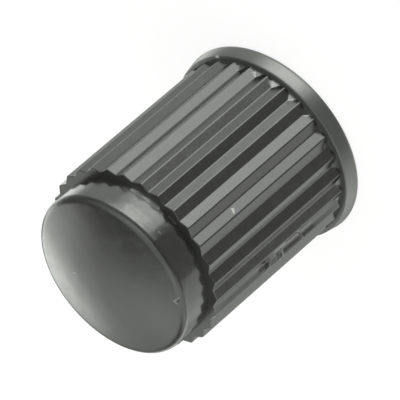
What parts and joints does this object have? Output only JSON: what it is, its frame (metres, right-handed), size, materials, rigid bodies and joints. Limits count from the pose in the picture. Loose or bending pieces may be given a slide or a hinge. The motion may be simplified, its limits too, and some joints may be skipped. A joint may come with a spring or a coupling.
{
  "type": "tyre valve cap",
  "caption": "Moulded plastic cap with grip ribs, a plain collar and a domed end that screws onto a tyre valve stem.",
  "frame": {"origin": "centre of the open end, in the plane of the mouth's rim", "axes": "+Z along the cap's axis, from the open end to the domed end; +X through the crest of a rib"},
  "size_m": [0.01, 0.01, 0.0123],
  "materials": {
    "black_plastic": "moulded, semi-gloss, with a polished neck and dome and small scuffs"
  },
  "bodies": {
    "root": {"valve_cap": "black_plastic"}
  },
  "joints": []
}
